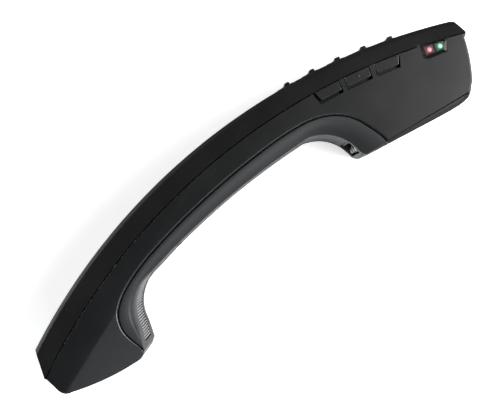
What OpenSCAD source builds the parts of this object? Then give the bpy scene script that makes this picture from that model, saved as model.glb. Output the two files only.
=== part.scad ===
// Hand controller in the form of a telephone handset, lying on its side.
// X runs along the handset from the mouthpiece to the head, Y points out of
// the keypad face, and Z is the width, up from the side that it lies on.

/* [Case] */
// Width of the case across its flat sides
case_w = 46; // [46:0.5:48]
// Thickness of the case mouldings
wall = 2; // [1.8:0.1:2.2]
// Gap at each seam between mouldings
seam = 0.3; // [0.2:0.05:0.4]
// How far the keypad face bulges in the middle of its width
crown = 0.8; // [0.4:0.1:1]
// Chamfer along both long edges of the keypad face
edge_chamfer = 1.5; // [1:0.1:2]
// How far the belly cover lies below the flat sides
belly_step = 0.7; // [0.4:0.1:1]

/* [Keypad] */
// Distance from one row of keys to the next, along the face
key_row_pitch = 10.96; // [10.6:0.02:11.2]
// Distance from one column of keys to the next
key_column_pitch = 12.4; // [12.2:0.1:12.8]
// Length of a key along the handset
key_l = 7; // [6.4:0.1:7.2]
// Width of a key across the handset
key_w = 9.4; // [8.8:0.1:9.6]
// Height of the ridge on a key above the key's top
key_ridge_h = 0.8; // [0.5:0.1:1.2]
// Travel of a key
key_travel = 0.7; // [0.4:0.1:0.7]

/* [Side keys] */
// Distance from one side key to the next, along the seam
side_key_pitch = 12.6; // [12.5:0.1:12.8]
// Length of a side key
side_key_l = 10.2; // [9.8:0.1:10.4]
// Height of a side key
side_key_h = 4; // [3.7:0.1:4.1]
// Travel of a side key
side_key_travel = 0.6; // [0.4:0.1:0.6]

/* [Battery] */
// Diameter of a battery cell
cell_d = 10.5; // [10:0.1:10.5]
// Length of a battery cell
cell_l = 44.5; // [43.5:0.1:44.5]
// Width of the battery door
door_w = 33; // [32:0.5:34]

/* [Grille] */
// Number of ribs in the mouthpiece grille
rib_count = 25; // [22:1:25]
// Distance from one rib to the next
rib_pitch = 1.08; // [1:0.01:1.1]
// Width of the grille across the handset
grille_w = 22; // [20:0.5:34]

/* [Dock pocket] */
// Width of the pocket that the cradle's contact block enters
pocket_w = 30; // [29:0.5:32]
// Distance between neighbouring dock contacts
contact_pitch = 8; // [7.5:0.5:8.5]

/* [Hidden] */

mid = case_w / 2;
far = 80; // further away than any part of the case

// ---- outlines in the side view --------------------------------------------
face_c = [-1.5, -218.2]; // centre of the keypad face's edge arc
face_r = 243.3;
seam_c = [2, -230.7]; // centre of the seam under the keypad cover
seam_r = 247.6;
grip_c = [0, -317.4]; // centre of the grip's inner arc
grip_r = 320;
mouth_c = [-47.5, -19]; // centre of the arc from grip to mouthpiece
mouth_r = 17.9;
neck_c = [27.3, -15.75]; // centre of the arc from grip to head
neck_r = 17.4;
under_c = [-64.2, 69.9]; // centre of the arc under the mouthpiece
under_r = 95;

function on(c, r, a) = [c[0] + r * cos(a), c[1] + r * sin(a)];
function arc(c, r, a0, a1, n) = [for (i = [0 : n]) on(c, r, a0 + (a1 - a0) * i / n)];
function unit(v) = v / norm(v);

module block(x, y, z) { // cube between three pairs of limits
    translate([x[0], y[0], z[0]]) cube([x[1] - x[0], y[1] - y[0], z[1] - z[0]]);
}

module slice(z0, z1) { // raises an outline from z0 to z1
    translate([0, 0, z0]) linear_extrude(z1 - z0) children();
}

// Mouthpiece, grip and head below the seam, every surface moved in by d.
module case_outline(d) {
    polygon(concat(
        [[-105 + d, 30], [-105 + d, -7.6], [-104.1 + d, -14.5]],
        [[-102.6 + d, -16.9 + d * 0.7]],
        arc(under_c, under_r - d, 246.5, 263.5, 8),
        [[-72.8, -24.65 + d], [-70.9 - d * 0.4, -24.4 + d], [-69.4 - d * 0.9, -23.8 + d],
         [-68.2 - d, -22.6 + d * 0.6]],
        arc(mouth_c, mouth_r + d, 167, 100, 12),
        arc(grip_c, grip_r + d, 98, 85.2, 12),
        arc(neck_c, neck_r + d, 82, 4, 12),
        [[45.3 + d, -17.5 + d * 0.6], [46.4 + d, -18.7 + d]],
        [[80, -25.2 + d], [86.5, -26 + d], [91 - d * 0.3, -25.4 + d], [93 - d, -23.6 + d]],
        arc([46.3, 14.6], 60.9 - d, -38, -19.6, 6),
        [[105 - d, -5.8], [105 - d, 30]]
    ));
}

module below_seam(gap) {
    intersection() {
        translate(seam_c) circle(r = seam_r - gap, $fa = 0.5);
        translate([-110, -40]) square([220, 70]);
    }
}

module cover_ends(d) { // limits of the keypad cover along X
    polygon([[-105 + d, -8], [105 - d, -8], [104.5 - d, 0.2 - d / 2], [102.6 - d, 2.2 - d / 2],
             [96, 8], [96, 50], [-98, 50], [-98, 8], [-101.8 + d, 2.6 - d / 2]]);
}

// The belly is everything on the inner side of the groove line.
module belly_region(gap) {
    polygon([[-68.4 + gap, -40], [-68.6 + gap, -21], [-69.6 + gap, -18], [-70.2 + gap, -14],
             [-69.8 + gap, -10], [-68 + gap, -6 - gap], [-64, -2.5 - gap], [-58, 0.4 - gap],
             [-50, 2.9 - gap], [-40, 4.9 - gap], [-30, 6.3 - gap], [-20, 7.2 - gap],
             [-10, 7.9 - gap], [2, 8.35 - gap], [12, 8.3 - gap], [20, 7.9 - gap],
             [30, 7.1 - gap], [37, 5.5 - gap], [43 - gap, 3.3 - gap], [47 - gap, 0.4 - gap],
             [50 - gap, -3], [52.5 - gap, -8], [54 - gap, -14], [55 - gap, -21], [55.2 - gap, -40]]);
}

// ---- keypad cover -----------------------------------------------------------
face_wall = 2.2; // from the edge arc in to the cavity
crown_r = (pow(mid - edge_chamfer, 2) + pow(crown, 2)) / (2 * crown);
crown_a = asin((mid - edge_chamfer) / crown_r);

module face_body() { // everything inside the crowned keypad face
    translate(face_c) rotate([0, 0, 60]) rotate_extrude(angle = 60, $fa = 0.5)
        polygon(concat(
            [[150, 0], [face_r - edge_chamfer, 0]],
            arc([face_r + crown - crown_r, mid], crown_r, -crown_a, crown_a, 12),
            [[face_r - edge_chamfer, case_w], [150, case_w]]));
}

module cavity_outline(d) { // the room inside, under the keypad face
    intersection() {
        translate(face_c) circle(r = face_r - face_wall, $fa = 0.5);
        case_outline(d);
        union() {
            cover_ends(d);
            translate([-120, -60]) square([240, 52.5]);
        }
    }
}

module outer_cover() {
    color([0.13, 0.13, 0.14]) union() {
        difference() {
            intersection() {
                face_body();
                slice(0, case_w) difference() {
                    cover_ends(0);
                    translate(seam_c) circle(r = seam_r, $fa = 0.5);
                }
            }
            slice(wall, case_w - wall) cavity_outline(wall);
            for (r = [1 : 5]) for (c = [1 : 3]) key_place(r, c)
                block([-key_l / 2 - key_gap, key_l / 2 + key_gap], [-6, 4],
                      [-key_w / 2 - key_gap, key_w / 2 + key_gap]);
        }
        intersection() {
            difference() {
                for (x = screw_x) for (z = screw_z) translate([x, post_y, z]) rotate([-90, 0, 0])
                    cylinder(d = 5.6, h = 12, $fn = 32);
                for (x = screw_x) for (z = screw_z) translate([x, post_y - 1, z]) rotate([-90, 0, 0])
                    cylinder(d = screw_d + 0.2, h = 3.2, $fn = 24);
            }
            slice(0, case_w) translate(face_c) circle(r = face_r - face_wall + 0.6, $fa = 0.5);
        }
    }
}

// ---- keypad keys ------------------------------------------------------------
keypad_a = -14.52; // direction of the keypad's middle, from the Y axis
key_gap = 0.3;
flange = 0.8;
mat_y = -5.9; // top of the keymat, from the edge arc at the middle row
ridge_x = 1.2; // ridge is nearer the head end of the key

function row_angle(r) = (r - 3) * key_row_pitch / face_r * 180 / PI;
function row_drop(r) = face_r * (1 - cos(row_angle(r)));
function key_top(c) = crown + (c == 2 ? 0.25 : 0.05);

module keypad_frame() { // x along the keypad, y out of the face
    translate([face_c[0], face_c[1], mid]) rotate([0, 0, keypad_a]) translate([0, face_r, 0])
        children();
}

module key_place(r, c) {
    translate([face_c[0], face_c[1], mid + (c - 2) * key_column_pitch])
        rotate([0, 0, keypad_a - row_angle(r)]) translate([0, face_r, 0]) children();
}

module key(r, c) {
    stem_end = mat_y + key_travel + row_drop(r) + 0.35;
    color([0.1, 0.1, 0.105]) key_place(r, c) union() {
        block([-key_l / 2, key_l / 2], [-3, key_top(c)], [-key_w / 2, key_w / 2]);
        block([-key_l / 2 - flange, key_l / 2 + flange], [-3.3, -2.5],
              [-key_w / 2 - flange, key_w / 2 + flange]);
        block([-1.5, 1.5], [stem_end, -2], [-1.5, 1.5]);
        slice(-key_w / 2 + 0.6, key_w / 2 - 0.6)
            polygon([[ridge_x - 1.8, key_top(c) - 0.1], [ridge_x + 1.1, key_top(c) - 0.1],
                     [ridge_x + 0.9, key_top(c) + key_ridge_h],
                     [ridge_x - 0.5, key_top(c) + key_ridge_h]]);
    }
}

board_half_l = 27.4;
board_half_w = 16.6;

module keymat() {
    color([0.32, 0.33, 0.35]) keypad_frame()
        block([-board_half_l, board_half_l], [mat_y - 1, mat_y], [-board_half_w, board_half_w]);
}

module snap_domes() {
    color([0.8, 0.8, 0.78]) keypad_frame() for (r = [-2 : 2]) for (c = [-1 : 1])
        translate([r * key_row_pitch * 0.975, mat_y - 1.3, c * key_column_pitch])
            rotate([-90, 0, 0]) cylinder(r = 3, h = 0.3, $fn = 32);
}

module keypad_board() {
    color([0.1, 0.3, 0.16]) keypad_frame()
        block([-board_half_l, board_half_l], [mat_y - 2.5, mat_y - 1.3],
              [-board_half_w, board_half_w]);
}

// ---- main shell -------------------------------------------------------------
side_key_a = -14.13; // direction of the middle side key from the seam's centre
side_key_drop = 0.3; // from the seam to the keys
lamp_a = -18.5;
lamp_at = [92.2, -2.5];
earpiece_a = -11.1; // slope of the head's inner face
earpiece_at = [71, -23.44];

module side_key_place(i) { // i counts the keys from the grip, -1 to 1
    translate(seam_c) rotate(side_key_a - i * side_key_pitch / (seam_r - 2.3) * 180 / PI)
        translate([0, seam_r - side_key_drop]) children();
}

// Outline of side key i, with a margin at its sides, top, bottom and outer end.
module side_key_outline(i, side, top, bottom, outer) {
    left = side_key_l / 2 + (i == -1 ? outer : side);
    right = side_key_l / 2 + side;
    side_key_place(i) polygon([
        [-left, top], [right, top],
        [right - 0.4 - (i == 1 ? 1 : 0), -side_key_h - bottom],
        [-left - 0.4 + (i == -1 ? 1.2 : 0), -side_key_h - bottom]]);
}

module lamp_outline(d) {
    translate(lamp_at) rotate(lamp_a) polygon([
        [-5 - d, 2.6 + d], [5 + d, 2.2 + d], [3.4 + d, -2.3 - d], [-4.4 - d, -2.6 - d],
        [-5.4 - d, -1 - d]]);
}

module head_frame() { // x along the head's inner face, y into the head
    translate([earpiece_at[0], earpiece_at[1], mid]) rotate([0, 0, earpiece_a]) children();
}

module main_shell() {
    color([0.2, 0.2, 0.21]) difference() {
        slice(0, case_w) difference() {
            intersection() {
                case_outline(0);
                below_seam(seam);
            }
            belly_region(0);
        }
        slice(wall, case_w - wall) cavity_outline(wall);
        slice(case_w - wall - 1, case_w + 1) {
            for (i = [-1 : 1]) side_key_outline(i, 0.25, 1, 0.8, 0.9);
            lamp_outline(0.3);
            translate(lamp_at) rotate(lamp_a) translate([-5, 0]) square([10, 5]);
        }
        grille_opening();
        head_frame() for (k = [-2 : 2]) translate([k * 3, -3, -1.5 * (3 - abs(k))])
            cube([1.2, 7, 3 * (3 - abs(k))]);
    }
}

// ---- belly cover, grille and battery door ----------------------------------
door_x = [-34, 31];
door_thick = 1.6;
hinge_at = [-33.2, 1.75];

module inner_cover() {
    color([0.24, 0.25, 0.26]) difference() {
        slice(belly_step, case_w - belly_step) intersection() {
            case_outline(0);
            belly_region(seam);
        }
        slice(belly_step + wall, case_w - belly_step - wall) cavity_outline(wall);
        block([door_x[0] - 0.5, door_x[1] + 0.4], [-6, 6],
              [mid - door_w / 2 - 0.3, mid + door_w / 2 + 0.3]);
        translate([hinge_at[0], hinge_at[1], mid - door_w / 2 - 1.6])
            cylinder(r = 0.55, h = door_w + 3.2, $fn = 32);
        grille_opening();
        slice(mid - pocket_w / 2, mid + pocket_w / 2) pocket_outline();
    }
}

// Path of the grille down the mouthpiece's inner face: an arc and a straight.
grille_a0 = 101;
grille_a1 = 167;
arc_len = mouth_r * (grille_a1 - grille_a0) * PI / 180;
straight_p = on(mouth_c, mouth_r, grille_a1);
straight_v = unit([-68.2, -22.6] - straight_p);

function path_at(s, d) = s < arc_len
    ? on(mouth_c, mouth_r + d, grille_a0 + s / mouth_r * 180 / PI)
    : straight_p + straight_v * (s - arc_len) + d * [straight_v[1], -straight_v[0]];
function path(d, s0, s1) = [for (i = [0 : 16]) path_at(s0 + (s1 - s0) * i / 16, d)];
function reversed(p) = [for (i = [len(p) - 1 : -1 : 0]) p[i]];

module grille_opening() {
    slice(mid - grille_w / 2 - 0.1, mid + grille_w / 2 + 0.1)
        polygon(concat(path(-1, -0.6, rib_count * rib_pitch + 0.1),
                       reversed(path(3.2, -0.6, rib_count * rib_pitch + 0.1))));
}

module grille() {
    color([0.28, 0.29, 0.3]) slice(mid - grille_w / 2, mid + grille_w / 2) union() {
        polygon(concat(path(1, -0.4, rib_count * rib_pitch - 0.1),
                       reversed(path(1.7, -0.4, rib_count * rib_pitch - 0.1))));
        for (k = [0 : rib_count - 1]) polygon([
            path_at(k * rib_pitch, 1.1), path_at(k * rib_pitch, 0.1),
            path_at(k * rib_pitch + 0.5, 0.1), path_at(k * rib_pitch + 0.5, 1.1)]);
    }
}

module grille_felt() {
    color([0.06, 0.06, 0.06]) slice(mid - grille_w / 2 + 1, mid + grille_w / 2 - 1)
        polygon(concat(path(1.8, 0, 27), reversed(path(2.2, 0, 27))));
}

module battery_door() {
    color([0.24, 0.25, 0.26]) difference() {
        union() {
            slice(mid - door_w / 2, mid + door_w / 2) intersection() {
                translate(grip_c) difference() {
                    circle(r = grip_r + door_thick, $fa = 0.5);
                    circle(r = grip_r, $fa = 0.5);
                }
                translate([hinge_at[0], -6]) square([door_x[1] - hinge_at[0], 14]);
            }
            translate([hinge_at[0], hinge_at[1], mid - door_w / 2])
                cylinder(r = 0.8, h = door_w, $fn = 32);
            translate([hinge_at[0], hinge_at[1], mid - door_w / 2 - 1.3])
                cylinder(r = 0.5, h = door_w + 2.6, $fn = 32);
            for (z = [mid - 9, mid, mid + 9]) block([26, 29], [2.2, 4.6], [z - 1.5, z + 1.5]);
        }
        block([door_x[1] - 3.4, door_x[1] - 1.4], [-2, 2.1], [mid - 6, mid + 6]);
    }
}

// ---- battery bay ------------------------------------------------------------
tray_x = [-33.4, 30.4];
tray_y = [5.1, 16.6];
tray_z = [6.6, 39.4];
tray_wall = 1.1;
cell_y = 10.1;
cell_x = -23.6; // end of the cells at the plates
screw_x = [-29.6, 26.8];
screw_z = [10.2, 35.8];
screw_d = 2.4;
post_y = 18.6;

module battery_tray() {
    color([0.15, 0.15, 0.155]) difference() {
        block(tray_x, tray_y, tray_z);
        block([cell_x - 0.7, cell_x + cell_l + 5.6], [0, tray_y[1] - tray_wall],
              [tray_z[0] + tray_wall, tray_z[1] - tray_wall]);
        for (x = screw_x) for (z = screw_z) translate([x, 0, z]) rotate([-90, 0, 0]) {
            cylinder(d = screw_d + 0.4, h = 20, $fn = 24);
            cylinder(d = 5, h = tray_y[1] - 1.5, $fn = 32);
        }
    }
}

module battery_cell(z, col) {
    color(col) translate([cell_x, cell_y, z]) rotate([0, 90, 0]) union() {
        cylinder(d = cell_d, h = cell_l - 1, $fn = 48);
        translate([0, 0, cell_l - 1.2]) cylinder(d = 3.8, h = 1.2, $fn = 32);
    }
}

module battery_springs() {
    color([0.75, 0.75, 0.72]) for (z = [mid - 5.6, mid + 5.6])
        translate([cell_x + cell_l + 5.1, cell_y, z]) rotate([0, 90, 0]) union() {
            translate([-4, -4, 0]) cube([8, 8, 0.5]);
            for (k = [0 : 3]) translate([0, 0, -1.5 * k - 0.5]) difference() {
                cylinder(r = 3.4 - 0.4 * k, h = 0.55, $fn = 32);
                translate([0, 0, -0.1]) cylinder(r = 2.7 - 0.4 * k, h = 0.75, $fn = 32);
            }
            translate([1.7, -0.4, -4.9]) cube([0.8, 0.8, 5]);
        }
}

module battery_plates() {
    color([0.8, 0.78, 0.7]) for (z = [mid - 5.6, mid + 5.6])
        block([cell_x - 0.6, cell_x - 0.1], [cell_y - 4, cell_y + 4], [z - 4, z + 4]);
}

module case_screws() {
    color([0.6, 0.6, 0.6]) for (x = screw_x) for (z = screw_z) translate([x, 0, z])
        rotate([-90, 0, 0]) difference() {
            union() {
                translate([0, 0, tray_y[1] - 3]) cylinder(d = 4.4, h = 1.5, $fn = 32);
                translate([0, 0, tray_y[1] - 2]) cylinder(d = screw_d, h = 5.6, $fn = 24);
            }
            translate([-1.5, -0.3, tray_y[1] - 3.1]) cube([3, 0.6, 0.8]);
            translate([-0.3, -1.5, tray_y[1] - 3.1]) cube([0.6, 3, 0.8]);
        }
}

// ---- boards inside the grip --------------------------------------------------
module main_board() {
    color([0.1, 0.32, 0.18]) difference() {
        block([-46, 29.4], [16.9, 18.1], [6, 40]);
        for (x = screw_x) for (z = screw_z) translate([x, 10, z]) rotate([-90, 0, 0])
            cylinder(d = 3.2, h = 12, $fn = 24);
    }
}

module shield_can() {
    color([0.78, 0.78, 0.76]) difference() {
        block([-20, 14], [18.1, 21.1], [10, 36]);
        block([-19.7, 13.7], [18, 20.8], [10.3, 35.7]);
    }
}

module antenna() { // curved strip inside the mouthpiece end of the keypad cover
    color([0.78, 0.56, 0.34]) translate([face_c[0], face_c[1], 10]) rotate([0, 0, 104])
        rotate_extrude(angle = 7.5, $fa = 0.5) translate([face_r - face_wall - 1.8, 0])
            square([1.2, 26]);
}

// ---- side keys and lamps -----------------------------------------------------
side_board_z = 39.9;

module side_key(i) {
    top = case_w + 0.1;
    color([0.3, 0.31, 0.32]) union() {
        slice(case_w - wall - 0.6, top) side_key_outline(i, 0, 0, 0, 0);
        slice(case_w - wall - 0.9, case_w - wall - 0.25) side_key_outline(i, 0.7, 0.2, 1.2, 1.2);
    }
}

module side_board() {
    color([0.1, 0.3, 0.16]) slice(side_board_z, side_board_z + 0.8) polygon([
        [46, 11.4], [52, 10.1], [64, 7.1], [77, 2.9], [85, 0.4], [97, -4.2], [95, -8.4],
        [84, -3.9], [76, -1.2], [63, 2.9], [51, 6], [45, 7.2]]);
}

module side_switches() {
    color([0.2, 0.2, 0.2]) for (i = [-1 : 1]) slice(side_board_z + 0.8, side_board_z + 2.1)
        side_key_place(i) translate([-2.3, -3.6]) square([4.6, 3]);
}

lamp_red_at = [89.9, -1.9];
lamp_green_at = [94, -3.4];

module lamp_bezel() {
    color([0.09, 0.09, 0.1]) difference() {
        slice(case_w - 3.4, case_w - 1.6) intersection() {
            lamp_outline(0.05);
            below_seam(0.4);
        }
        for (p = [lamp_red_at, lamp_green_at]) translate([p[0], p[1], 40])
            cylinder(d = 2.5, h = 8, $fn = 32);
    }
}

module lamp_lens(p, c) {
    color(c) translate([p[0], p[1], 0]) union() {
        translate([0, 0, case_w - 3.2]) cylinder(d = 2.2, h = 2, $fn = 32);
    }
}

module lamp_leds() {
    color([0.85, 0.85, 0.8]) for (p = [lamp_red_at, lamp_green_at])
        block([p[0] - 1, p[0] + 1], [p[1] - 0.8, p[1] + 0.8], [side_board_z + 0.8, side_board_z + 1.9]);
}

// ---- head and mouthpiece inside ----------------------------------------------
module earpiece() {
    color([0.16, 0.16, 0.17]) head_frame() translate([0, 3.6, 0]) rotate([-90, 0, 0]) union() {
        cylinder(d = 27, h = 4, $fn = 64);
        translate([0, 0, 3.9]) cylinder(d = 16, h = 3.6, $fn = 48);
    }
}

module earpiece_gasket() {
    color([0.08, 0.08, 0.08]) head_frame() translate([0, 2.5, 0]) rotate([-90, 0, 0]) difference() {
        cylinder(d = 27, h = 1.1, $fn = 64);
        translate([0, 0, -1]) cylinder(d = 20, h = 4, $fn = 64);
    }
}

module mouth_radial(a, d) { // z axis points away from the hollow at angle a
    p = on(mouth_c, mouth_r + d, a);
    translate([p[0], p[1], mid]) rotate([0, 90, a]) children();
}

module loudspeaker() {
    color([0.3, 0.3, 0.3]) mouth_radial(128, 3) union() {
        cylinder(d = 14, h = 2.4, $fn = 48);
        translate([0, 0, 2.3]) cylinder(d = 9, h = 2.4, $fn = 32);
    }
}

module mic_boot() {
    color([0.07, 0.07, 0.07]) mouth_radial(160, 3.6) difference() {
        cylinder(d = 7.2, h = 4.4, $fn = 40);
        translate([0, 0, 0.6]) cylinder(d = 5.2, h = 5, $fn = 32);
        translate([0, 0, -1]) cylinder(d = 1.5, h = 5, $fn = 24);
    }
}

module microphone() {
    color([0.7, 0.7, 0.7]) mouth_radial(160, 3.6) translate([0, 0, 0.7]) cylinder(d = 5, h = 3.2, $fn = 32);
}

// ---- dock pocket -------------------------------------------------------------
pocket_y = [-17.4, -9.4];
pocket_floor = 48.4;

module pocket_outline() {
    translate([40, pocket_y[0]]) square([20, pocket_y[1] - pocket_y[0]]);
}

module contact_block() {
    color([0.07, 0.07, 0.075]) difference() {
        block([44.4, 50.6], [pocket_y[0] + 0.2, pocket_y[1] - 0.2],
              [mid - pocket_w / 2 + 0.2, mid + pocket_w / 2 - 0.2]);
        block([40, pocket_floor], [pocket_y[0] + 1.2, pocket_y[1] - 1],
              [mid - pocket_w / 2 + 1.4, mid + pocket_w / 2 - 1.4]);
        slice(0, case_w) intersection() {
            translate(neck_c) circle(r = neck_r + 0.25, $fa = 1);
            translate([40, -30]) square([8, 40]);
        }
    }
}

module dock_contacts() {
    color([0.82, 0.8, 0.74]) for (z = [mid - contact_pitch, mid, mid + contact_pitch])
        slice(z - 1.4, z + 1.4) polygon([
            [pocket_floor, -15.9], [46.2, -15.7], [45, -14.7], [45.2, -13.3], [47, -12.1],
            [pocket_floor, -11.4], [pocket_floor, -11.9], [47.2, -12.6],
            [45.7, -13.5], [45.5, -14.5], [46.5, -15.2], [pocket_floor, -15.4]]);
}

// ---- wires ---------------------------------------------------------------------
ribbon_thick = 0.5;

function along(p, i) = unit(p[min(i + 1, len(p) - 1)] - p[max(i - 1, 0)]);
function beside(p, d) = [for (i = [0 : len(p) - 1]) p[i] + d * [-along(p, i)[1], along(p, i)[0]]];

module ribbon(z0, z1, points) { // flat cable on edge through points in the side view
    slice(z0, z1) polygon(concat(beside(points, -ribbon_thick / 2),
                                 reversed(beside(points, ribbon_thick / 2))));
}

module harness() {
    color([0.5, 0.5, 0.52]) union() {
        ribbon(20, 25, [[-46.6, 16.4], [-54, 11.5], [-60, 6.5], [-64.8, 2.6]]);
        ribbon(27, 31, [[-46.6, 16.4], [-60, 10], [-71, 2.5], [-75.5, -4], [-74.2, -9.4]]);
        ribbon(12, 16, [[38, 13.2], [50, 4], [64, -6], [72.5, -11.4]]);
        ribbon(27, 33, [[38, 13.2], [45.5, 6], [52.2, -4], [52.6, -12]]);
    }
}

outer_cover();
main_shell();
inner_cover();
battery_door();
grille();
grille_felt();
key(1, 1);  // key_r1c1
key(1, 2);  // key_r1c2
key(1, 3);  // key_r1c3
key(2, 1);  // key_r2c1
key(2, 2);  // key_r2c2
key(2, 3);  // key_r2c3
key(3, 1);  // key_r3c1
key(3, 2);  // key_r3c2
key(3, 3);  // key_r3c3
key(4, 1);  // key_r4c1
key(4, 2);  // key_r4c2
key(4, 3);  // key_r4c3
key(5, 1);  // key_r5c1
key(5, 2);  // key_r5c2
key(5, 3);  // key_r5c3
side_key(-1);  // side_key_down
side_key(0);  // side_key_mute
side_key(1);  // side_key_up
side_board();
side_switches();
lamp_bezel();
lamp_lens(lamp_red_at, [0.75, 0.3, 0.32]);  // lamp_red
lamp_lens(lamp_green_at, [0.35, 0.75, 0.5]);  // lamp_green
lamp_leds();
keypad_board();
keymat();
snap_domes();
main_board();
shield_can();
antenna();
earpiece();
earpiece_gasket();
loudspeaker();
microphone();
mic_boot();
battery_tray();
battery_cell(mid - 5.6, [0.2, 0.45, 0.3]);  // battery_cell_a
battery_cell(mid + 5.6, [0.2, 0.45, 0.3]);  // battery_cell_b
battery_springs();
battery_plates();
contact_block();
dock_contacts();
case_screws();
harness();
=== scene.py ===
import bpy, bmesh
from math import radians, degrees, sin, cos, atan2, sqrt, pi, hypot
from mathutils import Matrix, Vector


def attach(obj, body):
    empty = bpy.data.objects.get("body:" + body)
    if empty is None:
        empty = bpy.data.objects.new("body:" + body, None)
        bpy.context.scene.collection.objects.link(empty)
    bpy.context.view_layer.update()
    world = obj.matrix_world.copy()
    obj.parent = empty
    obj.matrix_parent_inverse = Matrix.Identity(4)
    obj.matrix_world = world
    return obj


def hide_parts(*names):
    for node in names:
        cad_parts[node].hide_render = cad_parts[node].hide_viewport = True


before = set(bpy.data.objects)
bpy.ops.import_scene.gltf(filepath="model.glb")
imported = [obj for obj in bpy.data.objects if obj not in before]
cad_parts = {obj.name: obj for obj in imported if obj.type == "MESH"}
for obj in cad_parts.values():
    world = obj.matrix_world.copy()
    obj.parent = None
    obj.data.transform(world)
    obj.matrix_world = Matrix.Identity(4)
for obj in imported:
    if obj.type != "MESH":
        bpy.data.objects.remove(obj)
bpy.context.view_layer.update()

# ---- camera -----------------------------------------------------------------
# Looks straight down on the handset's flat side from 400 mm above it,
# turned so that the handset lies along the frame's diagonal.
mm = 0.001
eye = bpy.data.objects.new("eye", bpy.data.cameras.new("eye"))
bpy.context.scene.collection.objects.link(eye)
eye.data.lens = 74.9
eye.data.clip_start = 0.01
eye.location = (-2.5 * mm, -6.2 * mm, 446 * mm)
eye.rotation_euler = (0, 0, radians(-39))
bpy.context.scene.camera = eye

# ---- table and lights --------------------------------------------------------
# A white sweep that glows less in reflections than to the eye, a big softbox over
# the head's inner side, a small cool one over the mouthpiece, a low strip at
# each long edge, and bright walls under a dark ceiling.
def blank_finish(name):
    # a new material with its nodes, its links and its shader
    finish = bpy.data.materials.new(name)
    finish.use_nodes = True
    nodes = finish.node_tree.nodes
    return finish, nodes, finish.node_tree.links, nodes["Principled BSDF"]


def two_tone(nodes, links, mask, one, other):
    # from one colour to another as the mask goes from 0 to 1
    tint = nodes.new("ShaderNodeMix")
    tint.data_type = "RGBA"
    tint.inputs["A"].default_value = (*one, 1)
    tint.inputs["B"].default_value = (*other, 1)
    links.new(mask, tint.inputs["Factor"])
    return tint.outputs["Result"]


sweep = bpy.data.meshes.new("sweep")
floor = bmesh.new()
bmesh.ops.create_grid(floor, x_segments=1, y_segments=1, size=3)
floor.to_mesh(sweep)
floor.free()
table = bpy.data.objects.new("table", sweep)
bpy.context.scene.collection.objects.link(table)
paper, paper_nodes, paper_links, sheet = blank_finish("paper")
sheet.inputs["Base Color"].default_value = (0.75, 0.75, 0.75, 1)
sheet.inputs["Roughness"].default_value = 0.9
sheet.inputs["Specular IOR Level"].default_value = 0.1
sheet.inputs["Emission Strength"].default_value = 0.6
seen = paper_nodes.new("ShaderNodeLightPath")
glow = two_tone(paper_nodes, paper_links, seen.outputs["Is Camera Ray"],
                (0.12, 0.125, 0.13), (1, 1, 1))
paper_links.new(glow, sheet.inputs["Emission Color"])
sweep.materials.append(paper)


def softbox(name, towards, tilt, away, wide, high, power):
    # a lit panel that faces the handset, tilt degrees from overhead
    lamp = bpy.data.lights.new(name, "AREA")
    lamp.shape = "RECTANGLE"
    lamp.size, lamp.size_y = wide, high
    lamp.energy = power
    panel = bpy.data.objects.new(name, lamp)
    bpy.context.scene.collection.objects.link(panel)
    way = Vector((cos(radians(towards)) * sin(radians(tilt)),
                  sin(radians(towards)) * sin(radians(tilt)), cos(radians(tilt))))
    panel.location = way * away + Vector((0, 0, 0.03))
    panel.rotation_euler = way.to_track_quat("Z", "Y").to_euler()
    return panel


softbox("key_light", -38, 40, 0.9, 0.56, 0.4, 15)
softbox("mouth_light", -112, 30, 0.9, 0.3, 0.26, 1.4).data.color = (0.84, 0.9, 1)
softbox("edge_light", -38, 87, 0.9, 0.8, 0.1, 0.8)
softbox("keypad_light", 126, 80, 0.9, 0.8, 0.3, 12)

sky = bpy.data.worlds.new("studio")
bpy.context.scene.world = sky
sky.use_nodes = True
sky_nodes, sky_links = sky.node_tree.nodes, sky.node_tree.links
place = sky_nodes.new("ShaderNodeTexCoord")
height = sky_nodes.new("ShaderNodeSeparateXYZ")
ramp = sky_nodes.new("ShaderNodeValToRGB")
sky_links.new(place.outputs["Generated"], height.inputs[0])
sky_links.new(height.outputs["Z"], ramp.inputs["Fac"])
sky_links.new(ramp.outputs["Color"], sky_nodes["Background"].inputs["Color"])
ramp.color_ramp.elements[0].position = 0.0
ramp.color_ramp.elements[0].color = (1, 1, 1, 1)
ramp.color_ramp.elements[1].position = 0.6
ramp.color_ramp.elements[1].color = (0.02, 0.021, 0.023, 1)
sky_nodes["Background"].inputs["Strength"].default_value = 0.75
bpy.context.scene.view_settings.view_transform = "Standard"

# ---- keypad cover ------------------------------------------------------------
# The outer moulding of the case: a crowned face along a long arc, chamfers on
# both long edges, a leaning wall at each end. Dyed black plastic, 2 mm thick,
# fine-grained and a little dusty. Its section is turned about the arc's centre.
mid = 23 * mm          # middle of the handset's width
face_c, face_r = Vector((-1.5, -218.2)) * mm, 243.3 * mm
seam_c, seam_r = Vector((2, -230.7)) * mm, 247.6 * mm
wall = 2 * mm


def seam_y(x, gap=0.0):
    # height of the seam between keypad cover and main shell at x
    return seam_c.y + sqrt((seam_r - gap) ** 2 - (x - seam_c.x) ** 2)


def join(verts, shape):
    # a chain of edges through these points
    made = [shape.verts.new(p) for p in verts]
    for a, b in zip(made, made[1:]):
        shape.edges.new((a, b))
    return made


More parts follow.
